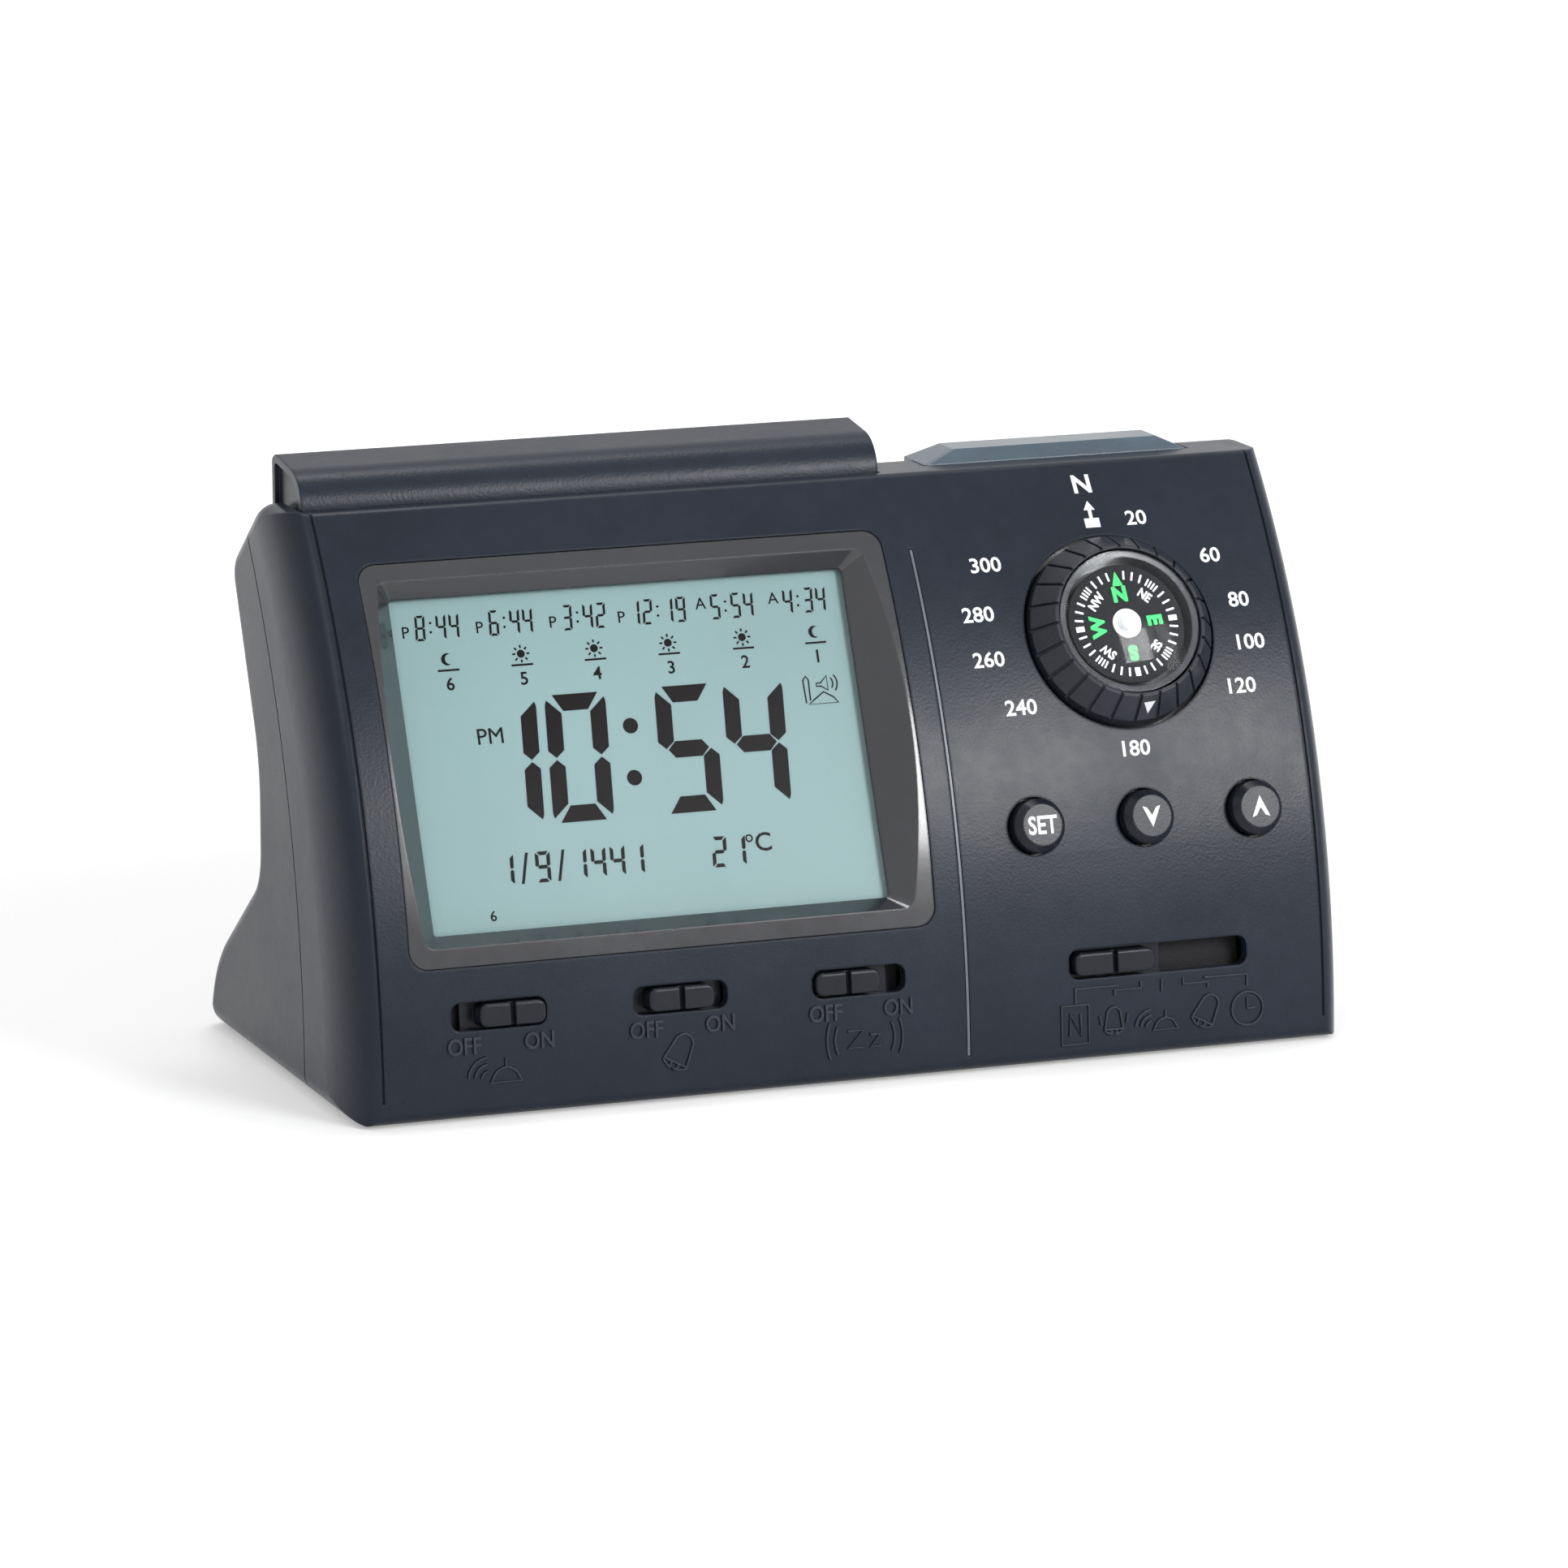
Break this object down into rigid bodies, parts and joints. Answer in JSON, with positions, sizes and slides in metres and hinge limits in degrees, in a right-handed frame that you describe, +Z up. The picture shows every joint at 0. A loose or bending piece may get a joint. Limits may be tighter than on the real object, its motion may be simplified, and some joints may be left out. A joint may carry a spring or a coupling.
{
  "type": "azan clock",
  "caption": "Desk alarm clock with a tilted calendar display, a compass in a turning ring, push buttons, slide switches and a long snooze bar on top.",
  "frame": {"origin": "middle of the footprint, on the surface the clock stands on", "axes": "+Z up, -Y towards the reader, +X to the reader's right"},
  "size_m": [0.1626, 0.073, 0.0941],
  "materials": {
    "case_plastic": "satin moulded plastic",
    "bezel_plastic": "glossy moulded plastic",
    "ring_plastic": "satin moulded plastic",
    "button_plastic": "polished moulded plastic",
    "bar_plastic": "satin moulded plastic",
    "key_plastic": "smoky blue plastic",
    "light_line": "moulded line",
    "clear_window": "clear polished",
    "lcd_glass": "grey green display",
    "white_plastic": "white plastic",
    "grey_rubber": "silicone",
    "circuit_board": "green board",
    "chip_plastic": "moulded",
    "steel": "plain",
    "card_paper": "printed black",
    "cone_paper": "pressed paper",
    "magnet_iron": "ferrite",
    "cell_wrap": "plain wrap",
    "foot_rubber": "soft"
  },
  "bodies": {
    "case": {"front_case": "case_plastic", "rear_case": "case_plastic", "divider_strip": "light_line", "display_bezel": "bezel_plastic", "display_window": "clear_window", "lcd_cell": "lcd_glass", "light_guide": "white_plastic", "zebra_strip": "grey_rubber", "main_board": "circuit_board", "board_chips": "chip_plastic", "button_pad": "grey_rubber", "control_board": "circuit_board", "compass_cup": "bezel_plastic", "compass_capsule": "bezel_plastic", "compass_pin": "steel", "compass_dome": "clear_window", "switch_bodies": "chip_plastic", "mode_switch_body": "chip_plastic", "switch_board": "circuit_board", "key_board": "circuit_board", "key_switches": "chip_plastic", "speaker_frame": "steel", "speaker_cone": "cone_paper", "speaker_magnet": "magnet_iron", "battery_tray": "case_plastic", "left_cell": "cell_wrap", "right_cell": "cell_wrap", "battery_contacts": "steel", "case_screws": "steel", "foot_pads": "foot_rubber"},
    "compass_ring": {"compass_ring": "ring_plastic"},
    "compass_card": {"compass_card": "card_paper", "card_jewel": "white_plastic"},
    "set_button": {"set_button": "button_plastic"},
    "down_button": {"down_button": "button_plastic"},
    "up_button": {"up_button": "button_plastic"},
    "snooze_bar": {"snooze_bar": "bar_plastic"},
    "light_button": {"light_button": "key_plastic"},
    "left_knob": {"left_knob": "button_plastic"},
    "middle_knob": {"middle_knob": "button_plastic"},
    "right_knob": {"right_knob": "button_plastic"},
    "mode_knob": {"mode_knob": "button_plastic"},
    "battery_door": {"battery_door": "case_plastic"}
  },
  "joints": [
    {"name": "ring_turn", "type": "hinge", "parent": "case", "child": "compass_ring", "pos_m": [0.0486, -0.02026, 0.0638], "axis": [0, -0.8824, 0.4704], "continuous": true},
    {"name": "card_turn", "type": "hinge", "parent": "case", "child": "compass_card", "pos_m": [0.0486, -0.02026, 0.0638], "axis": [0, -0.8824, 0.4704], "continuous": true},
    {"name": "set_press", "type": "slide", "parent": "case", "child": "set_button", "axis": [0, 0.961, -0.2766], "range_m": [0, 0.001], "stiffness_N_per_m": 300, "springref_m": -0.001},
    {"name": "down_press", "type": "slide", "parent": "case", "child": "down_button", "axis": [0, 0.961, -0.2766], "range_m": [0, 0.001], "stiffness_N_per_m": 300, "springref_m": -0.001},
    {"name": "up_press", "type": "slide", "parent": "case", "child": "up_button", "axis": [0, 0.961, -0.2766], "range_m": [0, 0.001], "stiffness_N_per_m": 300, "springref_m": -0.001},
    {"name": "snooze_press", "type": "slide", "parent": "case", "child": "snooze_bar", "axis": [0, 0, -1], "range_m": [0, 0.0015], "stiffness_N_per_m": 400, "springref_m": -0.001},
    {"name": "light_press", "type": "slide", "parent": "case", "child": "light_button", "axis": [0, 0, -1], "range_m": [0, 0.0012], "stiffness_N_per_m": 400, "springref_m": -0.001},
    {"name": "left_slide", "type": "slide", "parent": "case", "child": "left_knob", "axis": [1, 0, 0], "range_m": [-0.004, 0]},
    {"name": "middle_slide", "type": "slide", "parent": "case", "child": "middle_knob", "axis": [1, 0, 0], "range_m": [-0.002, 0.002]},
    {"name": "right_slide", "type": "slide", "parent": "case", "child": "right_knob", "axis": [1, 0, 0], "range_m": [0, 0.004]},
    {"name": "mode_slide", "type": "slide", "parent": "case", "child": "mode_knob", "axis": [1, 0, 0], "range_m": [0, 0.015]},
    {"name": "door_hinge", "type": "hinge", "parent": "case", "child": "battery_door", "pos_m": [0, 0.02648, 0.01528], "axis": [-1, 0, 0], "range_deg": [0, 90]}
  ]
}
